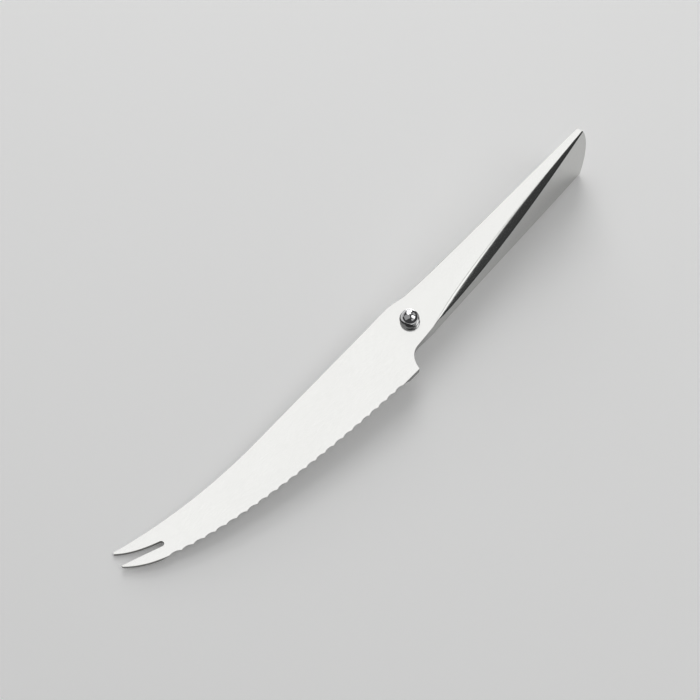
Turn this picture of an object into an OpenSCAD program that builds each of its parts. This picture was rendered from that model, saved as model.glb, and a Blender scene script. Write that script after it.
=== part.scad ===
// Tomato knife with a forked tip, a scalloped edge and a hollow all-steel handle.
// The handle starts flat in the plane of the blade and ends flat across it, so each side
// flares outwards while it narrows, and its belly and spine fan open towards the butt.
// The knife is drawn with x from the tip to the butt, y up from the spine line and z towards
// its left side. It is then laid on its right side, the way it rests on a table.

/* [Blade] */
// Distance from the tip of the upper tine to the heel corner
blade_len = 106.2; // [98:1:125]
// Depth of the blade at the heel, below the spine line
heel_depth = 22.2; // [19:0.5:25]
// Height of the upper tine's tip above the spine line
tip_rise = 8; // [6:0.5:10]
// Length of the curve that lifts the spine to the tip
rise_len = 55; // [45:1:70]
// Thickness of the blade at the tip
tip_t = 0.8; // [0.6:0.1:1.2]
// Thickness of the blade behind the heel
heel_t = 1.54; // [1.2:0.1:2]
// Radius of the heel corner
heel_r = 0.6; // [0.3:0.1:1]

/* [Fork] */
// Distance from the tip of the upper tine to the middle of the slot's round end
slot_depth = 10.7; // [9:0.1:12]
// Depth of the slot's round end below the spine line
slot_drop = 1; // [0:0.1:2]
// Diameter of the slot's round end
slot_d = 1.9; // [1.4:0.1:2.4]
// Angle of the slot to the spine line
slot_angle = 23; // [18:1:28]
// Height between the tips of the two tines
tine_gap = 5.4; // [4.8:0.1:6]
// Distance that the lower tine reaches ahead of the upper one
tine_lead = 1.8; // [0:0.1:3]
// Width of the blunt tip of each tine
tine_w = 0.5; // [0.3:0.05:0.8]

/* [Scalloped edge] */
// Number of scallops along the edge
scallops = 24; // [16:1:30]
// Depth of each scallop in the left side of the blade
scallop_depth = 0.5; // [0.3:0.05:0.6]
// Angle between the bevel that is ground from the right and the side of the blade
bevel_angle = 25; // [20:1:35]
// Length of plain edge between the last scallop and the heel
plain_len = 8; // [5:0.5:12]
// Distance from the tip of the upper tine to the first tooth
edge_start = 9.4; // [9:0.2:12]
// Depth of the first tooth below the spine line
edge_drop = 5.6; // [5:0.2:7]

/* [Handle] */
// Length of the handle from the heel to the corners of the butt
handle_len = 102.2; // [90:0.2:120]
// Height of the handle where it leaves the blade
neck_h = 16.4; // [14:0.2:18]
// Angle at which each side of the handle leaves the blade's plane
flare = 7.6; // [7:0.1:8.2]
// Width of the handle at the butt, across its two side faces
butt_w = 21.8; // [20:0.2:24]
// Height of each side face at the butt
butt_h = 1.6; // [1:0.1:2]
// Height of the handle at the middle of the butt
fan_h = 1.8; // [1.7:0.1:2.6]
// Distance that the spine steps down from the blade's back at the neck
spine_step = 1.25; // [0.8:0.05:1.6]
// Distance that the middle of the butt bulges beyond its corners
butt_bulge = 3; // [1.5:0.1:4]
// Distance that the middle of the butt lies below the middle of the neck
butt_drop = 1; // [0:0.1:2]
// Thickness of the handle's walls
wall = 1.1; // [0.9:0.1:1.6]

/* [Tang] */
// Length of the tang inside the handle
tang_len = 40; // [30:1:60]
// Thickness of the tang
tang_t = 1.2; // [1:0.1:1.6]
// Height of the tang where it enters the handle
tang_h = 11; // [8:0.5:13]
// Height of the tang at its end
tang_end_h = 6; // [4:0.5:7]

/* [Grip balls] */
// Diameter of the ball on each side of the neck
ball_d = 6.3; // [5.5:0.1:7.5]
// Height of the middle of the left ball above the side of the neck
ball_rise = 0.8; // [0.4:0.1:1.6]
// Height of the middle of the right ball, which the knife lies on, above the side of the neck
foot_rise = 2.4; // [2.2:0.1:2.6]
// Distance from the heel corner back to the middle of the balls
ball_back = 12.1; // [11:0.1:13]
// Depth of the balls below the spine line
ball_drop = 8.8; // [7:0.1:11]
// Diameter of the spigot that joins the two balls
spigot_d = 3; // [2:0.1:3.6]
// Depth of the socket in the right ball
socket_depth = 2.2; // [1.5:0.1:2.8]

/* [Rest] */
// Angle that the knife leans towards its spine when it lies on its right side
rest_lean = 7; // [6:0.1:8.5]
// Angle at which the butt lifts the handle when the knife lies down
rest_pitch = 2.25; // [1.8:0.05:2.8]

/* [Hidden] */
$fn = 48;

// Gap between pieces that slide into each other
fit = 0.02;
// Gap beyond the end of the spigot
end_gap = 0.3;
// Extra reach of a cutting shape beyond what it cuts
over = 1;
// Softening of the handle's long edges at the neck
edge_soft = 0.12;
// Steps in each curved stretch of an outline
steps = 14;
// Rings along the handle, and steps across each of its twisted facets
rings = 30;
facet_steps = 4;
// Share of a twisted facet's width that rolls over the edge of the side face, at the neck,
// and the length over which that share halves
edge_roll = 0.45;
roll_len = 12;
// Half the length of the soft bend in which the sides start to flare
flare_soft = 3;
// Length of plain wall at each end of the hollow in the handle, and the hollow's least height
front_wall = 5;
butt_wall = 14;
hollow_h = 0.4;

steel = [0.84, 0.84, 0.82];
polished = [0.66, 0.66, 0.67];

// Places along the knife
flare_x = blade_len + 5.8;
seam_x = flare_x + 9;
crease_x = seam_x + 1;
corner_x = blade_len + handle_len;
end_x = corner_x + butt_bulge;
butt_y = -neck_h / 2 - butt_drop;
tang_end_x = seam_x + tang_len;
ball_x = blade_len + ball_back;

// Curves with one inner control point, as points and as a height at x
function bend(a, b, c, n = steps) =
    [for (i = [0 : n]) let (t = i / n) (1 - t) ^ 2 * a + 2 * t * (1 - t) * b + t ^ 2 * c];

function bend_at(a, b, c, x) =
    let (k = a[0] - 2 * b[0] + c[0])
    let (m = b[0] - a[0])
    let (t = (x - a[0]) / (m + sqrt(max(0, m ^ 2 + k * (x - a[0])))))
    (1 - t) ^ 2 * a[1] + 2 * t * (1 - t) * b[1] + t ^ 2 * c[1];

// Half the thickness at x: the blade's taper, then the handle's flare, which eases to the butt
ease_len = 0.48 * (end_x - flare_x);

function side_z(x) =
    x < flare_x
    ? (tip_t + (heel_t - tip_t) * x / flare_x) / 2
    : bend_at([flare_x, heel_t / 2], [flare_x + ease_len, heel_t / 2 + ease_len * tan(flare)],
              [end_x, butt_w / 2], x);

// Height of the belly
function belly_y(x) =
    bend_at([flare_x, -neck_h], [flare_x + 43, -0.97 * neck_h], [end_x, butt_y - fan_h / 2], x);

// Height of the side face's lower edge, which leaves the belly behind the neck
function low_y(x) =
    x < crease_x
    ? belly_y(x) + edge_soft
    : bend_at([crease_x, belly_y(crease_x) + edge_soft], [crease_x + 13.5, -0.73 * neck_h],
              [end_x, butt_y - butt_h / 2], x);

// Height of the side face's upper edge
function top_y(x) =
    x < crease_x
    ? spine_y(x) - edge_soft
    : bend_at([crease_x, -spine_step - edge_soft], [crease_x + 1.5, -0.22 * neck_h],
              [end_x, butt_y + butt_h / 2], x);

// Height of the spine, which stays just out of sight behind the side face
function spine_y(x) =
    x < crease_x
    ? -spine_step * ((x - flare_x) / (crease_x - flare_x)) ^ 2
    : top_y(x) + bend_at([crease_x, edge_soft], [crease_x + 25, 3], [end_x, (fan_h - butt_h) / 2], x);

function mid_y(x) = (low_y(x) + top_y(x)) / 2;

// Half the width of the belly and spine fans
function fan_z(x) =
    x < crease_x
    ? side_z(x) - edge_soft
    : bend_at([crease_x, side_z(crease_x) - edge_soft], [crease_x + 28, 0.4 * heel_t],
              [end_x, side_z(end_x) - edge_soft], x);

// The line of the teeth, as a curve with two inner control points, and the teeth on it
edge_a = [edge_start, -edge_drop];
edge_d = [blade_len - plain_len, 0.2 - heel_depth];
edge_b = edge_a + [16.6, -8.1];
edge_c = edge_d + [-36.2, 2.3];
edge_steps = 120;

function edge_at(t) =
    (1 - t) ^ 3 * edge_a + 3 * t * (1 - t) ^ 2 * edge_b
    + 3 * t ^ 2 * (1 - t) * edge_c + t ^ 3 * edge_d;

edge_pts = [for (i = [0 : edge_steps]) edge_at(i / edge_steps)];
edge_runs = [for (i = [1 : edge_steps]) norm(edge_pts[i] - edge_pts[i - 1])];

function sum(list, n) = n == 0 ? 0 : list[n - 1] + sum(list, n - 1);

edge_table = [for (i = [0 : edge_steps]) [sum(edge_runs, i), i / edge_steps]];
edge_len = sum(edge_runs, edge_steps);
teeth = [for (i = [0 : scallops]) edge_at(lookup(edge_len * i / scallops, edge_table))];

// Outline of the blade and its tang
tip_up = [0, tip_rise];
tip_low = [-tine_lead, tip_rise - tine_gap];
slot_end = [slot_depth, -slot_drop];
slot_way = [cos(slot_angle), -sin(slot_angle)];
slot_side = [sin(slot_angle), cos(slot_angle)] * slot_d / 2;
heel = [blade_len, -heel_depth];

function spine_line() = concat(
    bend(tip_up, [rise_len * 0.46, 0], [rise_len, 0]),
    [for (i = [0 : steps]) let (x = flare_x + (seam_x - flare_x) * i / steps) [x, spine_y(x)]]
);

function tang_line(grow, end_x) = [
    [seam_x, mid_y(seam_x) + tang_h / 2 + grow],
    [end_x, mid_y(end_x) + tang_end_h / 2 + grow],
    [end_x, mid_y(end_x) - tang_end_h / 2 - grow],
    [seam_x, mid_y(seam_x) - tang_h / 2 - grow]
];

function heel_line() = let (from = flare_x + 1) concat(
    [for (i = [steps : -1 : 1]) let (x = from + (seam_x - from) * i / steps) [x, belly_y(x)]],
    bend([from, belly_y(from)], [heel[0] + 2.4, belly_y(flare_x)], heel + [0, heel_r]),
    bend(heel + [0, heel_r], heel, heel - [heel_r, 0], 5)
);

function fork_line() =
    let (low_top = tip_low + [0, tine_w])
    let (up_low = tip_up - [tine_w / 2, tine_w])
    concat(
        bend(edge_a, tip_low + [4, -5.2], tip_low),
        bend(low_top, slot_end - slot_side - slot_way * 6, slot_end - slot_side),
        [for (i = [1 : steps - 1]) let (a = -90 - slot_angle + 180 * i / steps)
            slot_end + [cos(a), sin(a)] * slot_d / 2],
        bend(slot_end + slot_side, slot_end + slot_side - slot_way * 8.5, up_low)
    );

module blade_outline() {
    edge = [for (i = [edge_steps : -4 : 4]) edge_pts[i]];
    polygon(concat(spine_line(), tang_line(0, tang_end_x), heel_line(), edge, fork_line()));
}

function side_at(x) = [x, side_z(x)];

// The blade seen from above: its taper, the flare of the neck and the tang
module blade_profile() {
    half = concat(
        [[-tine_lead - over, side_z(-tine_lead - over)]],
        bend(side_at(flare_x - flare_soft), side_at(flare_x), side_at(flare_x + flare_soft), 6),
        [side_at(seam_x - flare_soft), side_at(seam_x)],
        [[seam_x, tang_t / 2], [tang_end_x + over, tang_t / 2]]
    );
    polygon(concat(half, [for (i = [len(half) - 1 : -1 : 0]) [half[i][0], -half[i][1]]]));
}

// One scallop: a tilted round wheel that grinds through the edge from the right side
module scallop(from, to) {
    chord = norm(to - from);
    sink = scallop_depth * sin(bevel_angle);
    wheel_r = (chord ^ 2 / 4 + sink ^ 2) / (2 * sink);
    middle = (from + to) / 2;
    reach = wheel_r / sin(bevel_angle) - scallop_depth;
    wheel_w = 2 * (reach * cos(bevel_angle) + 5);
    translate([middle[0], middle[1], side_z(middle[0])])
        rotate([0, 0, atan2(to[1] - from[1], to[0] - from[0])])
            translate([0, -reach, 0])
                rotate([90 - bevel_angle, 0, 0])
                    cylinder(r = wheel_r, h = wheel_w, center = true, $fn = 96);
}

module blade() {
    color(steel)
    lay()
    difference() {
        intersection() {
            linear_extrude(height = 2 * side_z(seam_x) + over, center = true) blade_outline();
            rotate([90, 0, 0])
                linear_extrude(height = 4 * heel_depth, center = true) blade_profile();
        }
        for (i = [1 : scallops]) scallop(teeth[i - 1], teeth[i]);
        translate([ball_x, -ball_drop, 0])
            cylinder(d = spigot_d + 2 * fit, h = 4 * side_z(seam_x), center = true);
    }
}

// One twisted facet of the section, from the side face to a fan. A share of its width, roll,
// goes to the round edge where it leaves the side face.
function facet(edge, fan, roll, n) = bend(edge, [edge[0] + (fan[0] - edge[0]) * roll, edge[1]], fan, n);

function flip(list) = [for (i = [len(list) - 1 : -1 : 0]) list[i]];

// The handle's section at x: over the left side from the belly to the spine, and back
function section(x, inset, n) =
    let (mid = mid_y(x), half = max((top_y(x) - low_y(x)) / 2 - inset, hollow_h / 2))
    let (fan_top = max(fan_z(x) - inset, edge_soft), top = max(side_z(x) - inset, fan_top + edge_soft))
    let (belly = min(belly_y(x) + inset, mid - half - edge_soft))
    let (spine = max(spine_y(x) - inset, mid + half + edge_soft))
    let (roll = edge_roll / (1 + max(0, x - crease_x) / roll_len))
    let (over_left = concat(
        flip(facet([mid - half, top], [belly, fan_top], roll, n)),
        facet([mid + half, top], [spine, fan_top], roll, n)
    ))
    let (under_right = flip([for (p = over_left) [p[0], -p[1]]]))
    [for (p = concat(over_left, under_right)) [x, p[0], p[1]]];

module loft(from_x, to_x, inset, across) {
    sections = [for (i = [0 : rings]) section(from_x + (to_x - from_x) * i / rings, inset, across)];
    n = len(sections[0]);
    polyhedron(
        points = [for (s = sections) for (p = s) p],
        faces = concat(
            [[for (j = [n - 1 : -1 : 0]) j]],
            [for (i = [0 : rings - 1]) for (j = [0 : n - 1]) let (k = (j + 1) % n)
                [i * n + j, i * n + k, (i + 1) * n + j]],
            [for (i = [0 : rings - 1]) for (j = [0 : n - 1]) let (k = (j + 1) % n)
                [i * n + k, (i + 1) * n + k, (i + 1) * n + j]],
            [[for (j = [0 : n - 1]) rings * n + j]]
        )
    );
}

// One pressed half of the handle, hollow behind the neck, with a recess for half of the tang
module handle_shell() {
    corner_z = side_z(corner_x);
    butt_r = (corner_z ^ 2 + butt_bulge ^ 2) / (2 * butt_bulge);
    intersection() {
        difference() {
            intersection() {
                loft(seam_x, end_x + over, 0, facet_steps);
                union() {
                    translate([end_x - butt_r, 0, 0])
                        rotate([90, 0, 0])
                            cylinder(r = butt_r, h = 4 * neck_h, center = true, $fn = 96);
                    translate([seam_x - over, -2 * neck_h, -2 * corner_z + over])
                        cube([end_x - butt_r - seam_x + 2 * over, 4 * neck_h, 4 * corner_z - 2 * over]);
                }
            }
            loft(crease_x + front_wall, corner_x - butt_wall, wall, 1);
            linear_extrude(height = tang_t, center = true)
                polygon(tang_line(fit, tang_end_x + end_gap));
        }
        translate([seam_x - over, -2 * neck_h, 0])
            cube([end_x - seam_x + 4 * over, 4 * neck_h, 2 * corner_z]);
    }
}

module handle_shell_left() {
    color(steel) lay() handle_shell();
}

module handle_shell_right() {
    color(steel) lay() mirror([0, 0, 1]) handle_shell();
}

// A ball that stands on the flared side of the neck, with its middle at that height above it
module ball(rise) {
    slope = atan((side_z(ball_x + over) - side_z(ball_x - over)) / (2 * over));
    translate([ball_x, -ball_drop, side_z(ball_x)])
        difference() {
            translate([0, 0, rise]) sphere(d = ball_d);
            rotate([0, -slope, 0])
                translate([0, 0, -ball_d]) cube(2 * ball_d, center = true);
        }
}

module grip_ball_left() {
    tip_z = side_z(ball_x) + socket_depth - end_gap;
    color(polished)
    lay()
    union() {
        ball(ball_rise);
        translate([ball_x, -ball_drop, -tip_z])
            cylinder(d = spigot_d, h = tip_z + side_z(ball_x) + ball_rise);
    }
}

module grip_ball_right() {
    color(polished)
    lay()
    difference() {
        mirror([0, 0, 1]) ball(foot_rise);
        translate([ball_x, -ball_drop, -side_z(ball_x) - socket_depth])
            cylinder(d = spigot_d + 2 * fit, h = socket_depth + over);
    }
}

// The knife lies on the right ball, the lower corner of the butt and the upper tine. The
// middle of its box is over the origin, and its lowest point is on the table.
function laid(p) =
    let (y = p[1] * cos(rest_lean) + p[2] * sin(rest_lean))
    let (z = p[2] * cos(rest_lean) - p[1] * sin(rest_lean))
    [p[0] * cos(rest_pitch) - z * sin(rest_pitch), y, p[0] * sin(rest_pitch) + z * cos(rest_pitch)];

ball_foot = laid([ball_x, -ball_drop, -side_z(ball_x) - foot_rise]) - [0, 0, ball_d / 2];
butt_foot = laid([corner_x, top_y(corner_x), -side_z(corner_x)]);
tine_foot = laid([tip_up[0], tip_up[1], -side_z(0)]);
table_z = min(ball_foot[2], butt_foot[2], tine_foot[2]);

front_x = laid([tip_low[0], tip_low[1], side_z(0)])[0];
back_x = laid([end_x, mid_y(end_x), 0])[0];
spine_side = laid([tip_up[0], tip_up[1], side_z(0)])[1];
edge_side = laid([heel[0], heel[1], -side_z(heel[0])])[1];

module lay() {
    translate([-(front_x + back_x) / 2, -(spine_side + edge_side) / 2, -table_z])
        rotate([-rest_lean, -rest_pitch, 0])
            children();
}

blade();
handle_shell_left();
handle_shell_right();
grip_ball_left();
grip_ball_right();
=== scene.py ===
import math
import bpy
from mathutils import Matrix, Vector

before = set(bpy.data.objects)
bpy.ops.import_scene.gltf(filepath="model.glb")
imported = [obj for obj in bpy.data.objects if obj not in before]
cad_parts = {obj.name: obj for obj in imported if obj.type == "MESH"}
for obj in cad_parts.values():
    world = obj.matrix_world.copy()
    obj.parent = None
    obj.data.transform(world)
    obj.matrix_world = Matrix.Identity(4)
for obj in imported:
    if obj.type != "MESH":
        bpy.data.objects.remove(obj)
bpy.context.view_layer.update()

# How the knife lies: its middle plane leans to the spine and lifts to the butt
LEAN = math.radians(7.0)
PITCH = math.radians(2.25)
MIDDLE_NORMAL = Vector((-math.cos(LEAN) * math.sin(PITCH), math.sin(LEAN),
                        math.cos(LEAN) * math.cos(PITCH)))

# Which edges stay sharp. Angles are between the normals of the two faces
BLADE_SHARP = math.radians(26)
HANDLE_SHARP = math.radians(38)       # lets the shells' rolled edges shade smoothly
CREASE_SHARP = math.radians(55)       # the same for the creases beside their side faces
CREASE_FACING = 0.6                   # how squarely a crease faces out of the knife's side
BALL_SHARP = math.radians(40)         # keeps the ring where a ball meets the handle
WELD_NEAR = 0.000002                  # corners this close, in metres, are one corner

# The camera of the photo, in metres and radians, with its lens in millimetres
AIM = Vector((-0.00730, 0.00564, 0.008))
DISTANCE = 0.67483
HEADING = math.radians(31.151)        # direction of view on the table, from +X
ELEVATION = math.radians(55.366)
ROLL = math.radians(9.036)
LENS = 113.14
CLIP_NEAR = 0.01

# Most of the noise lies in this range
NOISE_RANGE = (0.3, 0.7)
NOISE_ROUGH = 0.6

# Satin steel
STEEL = (0.62, 0.62, 0.608, 1)
STEEL_DULL = (0.585, 0.585, 0.573, 1)
PATCHES = 60                          # dull and bright patches in a metre
PATCH_STRETCH = 2.5
PATCH_SHARE = (0.35, 1.0)             # from dull steel, 0, to bright, 1
STEEL_LINE = (0.50, 0.50, 0.488, 1)   # the fine lines that grinding leaves
LINE_DEPTH = 0.45                     # how far the lines go from the steel to that colour
LINES = 11000                         # lines in a metre across the grain
LINE_STRETCH = 80
LINE_BUMP = 0.25
LINE_HEIGHT = 0.00001
SATIN_ROUGH = (0.14, 0.165)           # roughness in the lines and between them

# The blade's stamped walls are rougher, as cut. Their colour is darkened with painted shade, which
# stands in for the shadowed floor they reflect
STEEL_CUT_SHADED = (0.27, 0.27, 0.262, 1)
CUT_ROUGH = 0.30
CUT_SHADE_SQUARE = (0.62, 0.45)             # how squarely a face looks out of the knife's side
CUT_SHADE_FADE = (0.002, 0.014)             # along X, where the walls run into the polished handle

# Mirror steel
POLISHED = (0.78, 0.78, 0.79, 1)
SMUDGES = 700                         # smudges in a metre
MIRROR_ROUGH = (0.018, 0.045)         # roughness of clean and of smudged places

# Floor, room and lights
FLOOR = (0.94, 0.94, 0.935, 1)
FLOOR_SIZE = 6.0
FLOOR_ROUGH = 0.6
FLOOR_LIFT = 0.10                     # its own brightness, seen by camera, gloss and glass
ROOM = (0.82, 0.83, 0.84, 1)
ROOM_LEVEL = 0.06
LIGHT_AIM = Vector((0.02, 0, 0))

# The Mix node has its own pair of inputs, and an output, for numbers and for colours
MIX_SOCKETS = {"FLOAT": (2, 3, 0), "RGBA": (6, 7, 2)}


# Material nodes
def new_material(name):
    m = bpy.data.materials.new(name)
    m.use_nodes = True
    nodes, links = m.node_tree.nodes, m.node_tree.links
    nodes.clear()
    out = nodes.new("ShaderNodeOutputMaterial")
    shader = nodes.new("ShaderNodeBsdfPrincipled")
    links.new(shader.outputs["BSDF"], out.inputs["Surface"])
    return m, nodes, links, shader, out


def grain(nodes, links, scale, stretch, detail):
    """Noise drawn out along X by stretch, as grinding leaves it."""
    coord = nodes.new("ShaderNodeTexCoord")
    mapping = nodes.new("ShaderNodeMapping")
    mapping.inputs["Scale"].default_value = (scale / stretch, scale, scale)
    noise = nodes.new("ShaderNodeTexNoise")
    noise.inputs["Scale"].default_value = 1.0
    noise.inputs["Detail"].default_value = detail
    noise.inputs["Roughness"].default_value = NOISE_ROUGH
    links.new(coord.outputs["Object"], mapping.inputs["Vector"])
    links.new(mapping.outputs["Vector"], noise.inputs["Vector"])
    return noise.outputs["Fac"]


def ramp(nodes, links, source, low, high, at=NOISE_RANGE):
    r = nodes.new("ShaderNodeMapRange")
    r.inputs["From Min"].default_value = at[0]
    r.inputs["From Max"].default_value = at[1]
    r.inputs["To Min"].default_value = low
    r.inputs["To Max"].default_value = high
    links.new(source, r.inputs["Value"])
    return r.outputs["Result"]


def fill(links, value, socket):
    """Gives the socket a value, which is a number, a colour or another node's output."""
    if isinstance(value, bpy.types.NodeSocket):
        links.new(value, socket)
    else:
        socket.default_value = value


def calc(nodes, links, operation, first, second=None):
    c = nodes.new("ShaderNodeMath")
    c.operation = operation
    fill(links, first, c.inputs[0])
    if second is not None:
        fill(links, second, c.inputs[1])
    return c.outputs[0]


def blend(nodes, links, amount, first, second, kind):
    mix = nodes.new("ShaderNodeMix")
    mix.data_type = kind
    links.new(amount, mix.inputs["Factor"])
    first_at, second_at, out_at = MIX_SOCKETS[kind]
    fill(links, first, mix.inputs[first_at])
    fill(links, second, mix.inputs[second_at])
    return mix.outputs[out_at]


def facing_side(nodes, links, normal):
    """How squarely a normal looks out of one of the knife's sides, from 0 to 1."""
    dot = nodes.new("ShaderNodeVectorMath")
    dot.operation = "DOT_PRODUCT"
    dot.inputs[1].default_value = MIDDLE_NORMAL
    links.new(normal, dot.inputs[0])
    return calc(nodes, links, "ABSOLUTE", dot.outputs["Value"])


def cut_and_shade_walls(nodes, links):
    """1 on the walls square to the blade's side, where the cut roughness and the painted shade go, 0
    on its sides and towards the handle.
    """
    shape = nodes.new("ShaderNodeNewGeometry")
    facing = facing_side(nodes, links, shape.outputs["True Normal"])
    coord = nodes.new("ShaderNodeTexCoord")
    parts = nodes.new("ShaderNodeSeparateXYZ")
    links.new(coord.outputs["Object"], parts.inputs[0])
    return calc(nodes, links, "MULTIPLY", ramp(nodes, links, facing, 0.0, 1.0, CUT_SHADE_SQUARE),
                ramp(nodes, links, parts.outputs["X"], 1.0, 0.0, CUT_SHADE_FADE))


# Materials
def satin_steel(name, cut_shaded=False):
    m, nodes, links, shader, _ = new_material(name)
    shader.inputs["Metallic"].default_value = 1.0
    lines = grain(nodes, links, LINES, LINE_STRETCH, detail=2)
    patches = grain(nodes, links, PATCHES, PATCH_STRETCH, detail=3)
    tone = blend(nodes, links, ramp(nodes, links, patches, *PATCH_SHARE), STEEL_DULL, STEEL, "RGBA")
    tone = blend(nodes, links, ramp(nodes, links, lines, LINE_DEPTH, 0.0), tone, STEEL_LINE, "RGBA")
    rough = ramp(nodes, links, lines, *SATIN_ROUGH)
    if cut_shaded:
        # painted shade: the cut walls' colour is darkened to stand in for the shade they reflect,
        # while their extra roughness is real
        cut_shade_mask = cut_and_shade_walls(nodes, links)
        tone = blend(nodes, links, cut_shade_mask, tone, STEEL_CUT_SHADED, "RGBA")
        rough = blend(nodes, links, cut_shade_mask, rough, CUT_ROUGH, "FLOAT")
    links.new(tone, shader.inputs["Base Color"])
    links.new(rough, shader.inputs["Roughness"])
    bump = nodes.new("ShaderNodeBump")
    bump.inputs["Strength"].default_value = LINE_BUMP
    bump.inputs["Distance"].default_value = LINE_HEIGHT
    links.new(lines, bump.inputs["Height"])
    links.new(bump.outputs["Normal"], shader.inputs["Normal"])
    return m


def mirror_steel(name):
    m, nodes, links, shader, _ = new_material(name)
    shader.inputs["Metallic"].default_value = 1.0
    shader.inputs["Base Color"].default_value = POLISHED
    smudges = grain(nodes, links, SMUDGES, 1, detail=2)
    links.new(ramp(nodes, links, smudges, *MIRROR_ROUGH), shader.inputs["Roughness"])
    return m


def floor_material(name):
    m, nodes, links, shader, out = new_material(name)
    shader.inputs["Base Color"].default_value = FLOOR
    shader.inputs["Roughness"].default_value = FLOOR_ROUGH
    path = nodes.new("ShaderNodeLightPath")
    seen = path.outputs["Is Camera Ray"]
    for ray in ("Is Glossy Ray", "Is Transmission Ray"):
        seen = calc(nodes, links, "MAXIMUM", seen, path.outputs[ray])
    glow = nodes.new("ShaderNodeEmission")
    glow.inputs["Color"].default_value = FLOOR
    links.new(calc(nodes, links, "MULTIPLY", seen, FLOOR_LIFT), glow.inputs["Strength"])
    add = nodes.new("ShaderNodeAddShader")
    links.new(shader.outputs["BSDF"], add.inputs[0])
    links.new(glow.outputs["Emission"], add.inputs[1])
    links.new(add.outputs["Shader"], out.inputs["Surface"])
    return m


# Edges and shading
def compare(nodes, links, operation, value, limit):
    c = nodes.new("FunctionNodeCompare")
    c.data_type = "FLOAT"
    c.operation = operation
    c.inputs["B"].default_value = limit
    links.new(value, c.inputs["A"])
    return c.outputs["Result"]


def logic(nodes, links, operation, first, second):
    b = nodes.new("FunctionNodeBooleanMath")
    b.operation = operation
    links.new(first, b.inputs[0])
    links.new(second, b.inputs[1])
    return b.outputs[0]


def soft_creases(nodes, links, angle):
    """Picks the creases that CREASE_SHARP and CREASE_FACING describe."""
    normal = nodes.new("GeometryNodeInputNormal")
    per_face = nodes.new("GeometryNodeFieldOnDomain")
    per_face.data_type = "FLOAT_VECTOR"
    per_face.domain = "FACE"
    links.new(normal.outputs[0], per_face.inputs[0])
    facing = facing_side(nodes, links, per_face.outputs[0])
    return logic(nodes, links, "AND", compare(nodes, links, "LESS_EQUAL", angle, CREASE_SHARP),
                 compare(nodes, links, "GREATER_THAN", facing, CREASE_FACING))


def edge_group(name, sharp_angle, creases=False):
    """A modifier's nodes that shade faces smoothly, except across sharp edges."""
    group = bpy.data.node_groups.new(name, "GeometryNodeTree")
    group.interface.new_socket("Geometry", in_out="INPUT", socket_type="NodeSocketGeometry")
    group.interface.new_socket("Geometry", in_out="OUTPUT", socket_type="NodeSocketGeometry")
    nodes, links = group.nodes, group.links
    start = nodes.new("NodeGroupInput")
    end = nodes.new("NodeGroupOutput")
    forget = nodes.new("GeometryNodeRemoveAttribute")
    forget.inputs["Name"].default_value = "custom_normal"
    faces = nodes.new("GeometryNodeSetShadeSmooth")
    faces.domain = "FACE"
    faces.inputs["Shade Smooth"].default_value = True
    angle = nodes.new("GeometryNodeInputMeshEdgeAngle").outputs["Unsigned Angle"]
    soft = compare(nodes, links, "LESS_EQUAL", angle, sharp_angle)
    if creases:
        soft = logic(nodes, links, "OR", soft, soft_creases(nodes, links, angle))
    edges = nodes.new("GeometryNodeSetShadeSmooth")
    edges.domain = "EDGE"
    links.new(start.outputs[0], forget.inputs["Geometry"])
    links.new(forget.outputs["Geometry"], faces.inputs["Geometry"])
    links.new(faces.outputs["Geometry"], edges.inputs["Geometry"])
    links.new(soft, edges.inputs["Shade Smooth"])
    links.new(edges.outputs["Geometry"], end.inputs[0])
    return group


def finish_node(name, material, edges):
    """Gives a CAD node its material and its soft and sharp edges."""
    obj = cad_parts[name]
    for slot in obj.material_slots:
        slot.material = material
    weld = obj.modifiers.new("weld", "WELD")
    weld.merge_threshold = WELD_NEAR
    obj.modifiers.new("smooth", "NODES").node_group = edges
    even = obj.modifiers.new("even", "WEIGHTED_NORMAL")
    even.mode = "FACE_AREA"
    even.weight = 100
    even.keep_sharp = True


# Knife
handle_steel = satin_steel("handle_satin")
ball_steel = mirror_steel("ball_mirror")
handle_edges = edge_group("handle_edges", HANDLE_SHARP, creases=True)
ball_edges = edge_group("ball_edges", BALL_SHARP)
# the blade's cut walls get painted shade in their colour
finish_node("blade", satin_steel("blade_satin", cut_shaded=True), edge_group("blade_edges", BLADE_SHARP))
for side in ("left", "right"):
    finish_node("handle_shell_" + side, handle_steel, handle_edges)
    finish_node("grip_ball_" + side, ball_steel, ball_edges)

# Floor
bpy.ops.mesh.primitive_plane_add(size=FLOOR_SIZE, location=(0, 0, 0))
floor = bpy.context.object
floor.name = "floor"
floor.data.materials.append(floor_material("floor"))


# Light
def direction(azimuth, elevation):
    """Points to that azimuth, from +X, and elevation, both in radians."""
    return Vector((math.cos(azimuth) * math.cos(elevation),
                   math.sin(azimuth) * math.cos(elevation), math.sin(elevation)))


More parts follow.
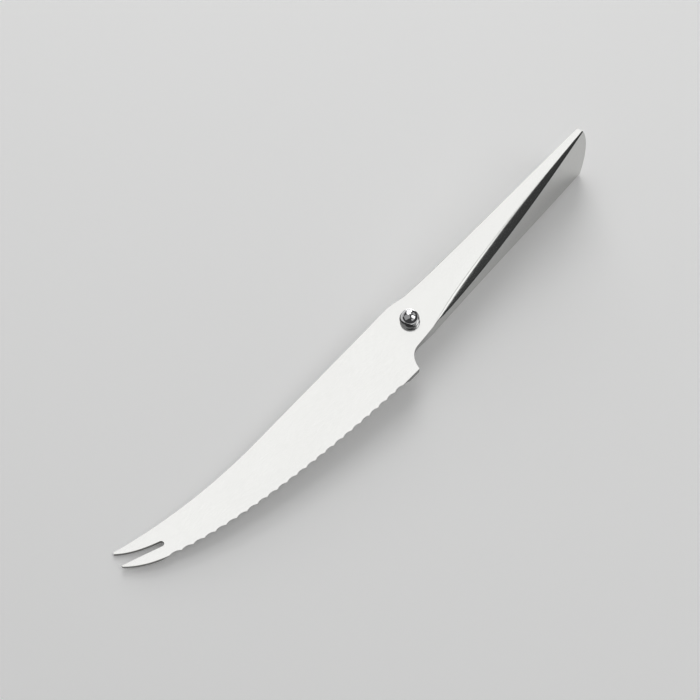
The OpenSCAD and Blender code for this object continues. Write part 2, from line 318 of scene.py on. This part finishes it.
def softbox(name, azimuth, elevation, distance, size, brightness):
    """A soft light that the knife sees at that azimuth and elevation, in degrees."""
    way = direction(math.radians(azimuth), math.radians(elevation))
    data = bpy.data.lights.new(name, "AREA")
    data.shape = "RECTANGLE"
    data.size, data.size_y = size
    data.energy = brightness * math.pi * size[0] * size[1]
    lamp = bpy.data.objects.new(name, data)
    bpy.context.scene.collection.objects.link(lamp)
    lamp.location = LIGHT_AIM + way * distance
    lamp.rotation_euler = way.to_track_quat("Z", "Y").to_euler()


softbox("key", azimuth=56, elevation=51, distance=1.6, size=(1.1, 1.15), brightness=1.44)
softbox("low", azimuth=41, elevation=23, distance=1.6, size=(0.95, 0.8), brightness=3.5)
softbox("front", azimuth=-58, elevation=54, distance=1.2, size=(0.6, 0.95), brightness=1.6)

# Dim panels that the steel reflects in other views
softbox("window", azimuth=142, elevation=54, distance=1.5, size=(1.6, 1.9), brightness=0.3)
softbox("wall", azimuth=82, elevation=9, distance=1.8, size=(2.6, 0.6), brightness=0.45)
softbox("side", azimuth=-10, elevation=38, distance=1.6, size=(0.8, 0.8), brightness=0.4)
softbox("near", azimuth=-98, elevation=41, distance=1.6, size=(0.9, 0.7), brightness=0.4)

world = bpy.data.worlds.new("world")
bpy.context.scene.world = world
world.use_nodes = True
background = world.node_tree.nodes["Background"]
background.inputs["Color"].default_value = ROOM
background.inputs["Strength"].default_value = ROOM_LEVEL

# Camera
look = direction(HEADING, -ELEVATION)
level_right = look.cross(Vector((0, 0, 1))).normalized()
level_up = level_right.cross(look)
right = level_right * math.cos(ROLL) + level_up * math.sin(ROLL)
up = right.cross(look)
place = AIM - look * DISTANCE
camera_data = bpy.data.cameras.new("camera")
camera_data.lens = LENS
camera_data.clip_start = CLIP_NEAR
camera = bpy.data.objects.new("camera", camera_data)
bpy.context.scene.collection.objects.link(camera)
camera.matrix_world = Matrix((
    (right.x, up.x, -look.x, place.x),
    (right.y, up.y, -look.y, place.y),
    (right.z, up.z, -look.z, place.z),
    (0, 0, 0, 1),
))
bpy.context.scene.camera = camera
bpy.context.scene.view_settings.view_transform = "Standard"
